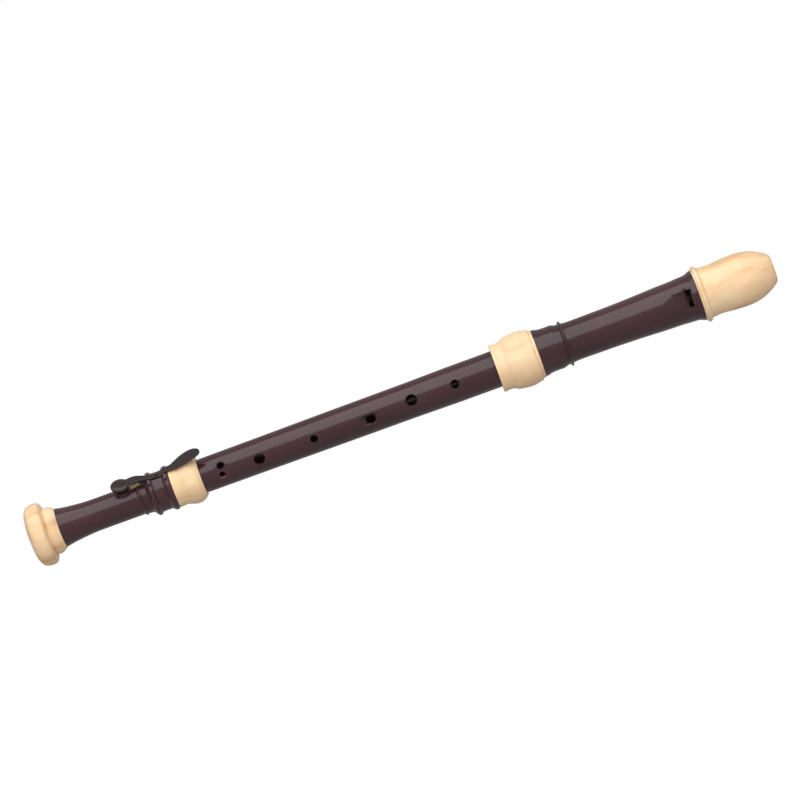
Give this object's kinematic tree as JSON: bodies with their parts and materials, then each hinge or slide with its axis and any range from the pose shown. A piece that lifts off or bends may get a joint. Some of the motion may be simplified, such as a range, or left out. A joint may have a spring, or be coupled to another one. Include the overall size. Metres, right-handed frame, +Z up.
{
  "type": "tenor recorder",
  "caption": "Tenor recorder lying on its side: beak with windway, window and lip, finger-hole tube, flared foot with an articulated pad key, and pull-apart tenon joints.",
  "frame": {"origin": "on the surface that the instrument lies on, under the middle of its length", "axes": "+X along the bore from the bell to the beak, +Z up on the finger-hole side, the key leaning 52 degrees from +Z towards +Y"},
  "size_m": [0.6474, 0.0528, 0.0527],
  "materials": {
    "ivory": "satin imitation ivory with faint grain",
    "block_ivory": "matt cream",
    "brown": "glossy purple-brown",
    "key_dark": "glossy dark purple-brown",
    "cork": "greased cork",
    "felt": "felt",
    "steel": "bright drawn wire",
    "spring": "rolled strip"
  },
  "bodies": {
    "middle_joint": {"middle_tube": "brown"},
    "upper_cork": {"upper_tenon_cork": "cork"},
    "head_joint": {"head_tube": "brown", "head_socket_ring": "ivory", "beak_cap": "ivory", "windway_block": "block_ivory"},
    "lower_cork": {"lower_tenon_cork": "cork"},
    "foot_joint": {"foot_tube": "brown", "foot_socket_ring": "ivory", "bell_ring": "ivory", "touch_pivot_pin": "steel", "cup_pivot_pin": "steel", "tail_buffer": "felt"},
    "touch": {"touch_lever": "key_dark", "touch_spring": "spring", "touch_spring_screw": "steel"},
    "cup": {"cup_lever": "key_dark", "key_pad": "felt", "cup_spring": "spring", "cup_spring_screw": "steel"}
  },
  "joints": [
    {"name": "head_turn", "type": "hinge", "parent": "middle_joint", "child": "upper_cork", "pos_m": [0.0983, 0, 0.02637], "axis": [1, 0, 0], "continuous": true},
    {"name": "head_pull", "type": "slide", "parent": "upper_cork", "child": "head_joint", "axis": [1, 0, 0], "range_m": [0, 0.04]},
    {"name": "foot_turn", "type": "hinge", "parent": "middle_joint", "child": "lower_cork", "pos_m": [-0.1867, 0, 0.02637], "axis": [1, 0, 0], "continuous": true},
    {"name": "foot_pull", "type": "slide", "parent": "lower_cork", "child": "foot_joint", "axis": [-1, 0, 0], "range_m": [0, 0.03]},
    {"name": "touch_press", "type": "hinge", "parent": "foot_joint", "child": "touch", "pos_m": [-0.2019, 0.01332, 0.03678], "axis": [0, 0.6157, -0.788], "range_deg": [0, 5.2], "stiffness_Nm_per_rad": 0.1, "springref_deg": -11.46, "deforming": ["touch_spring", "cup_spring"]},
    {"name": "cup_close", "type": "hinge", "parent": "foot_joint", "child": "cup", "pos_m": [-0.2163, 0.01308, 0.03659], "axis": [0, 0.6157, -0.788], "range_deg": [-7.3, 0]}
  ],
  "couplings": [
    {"joint": "cup_close", "follows": "touch_press", "ratio": -1.4}
  ]
}
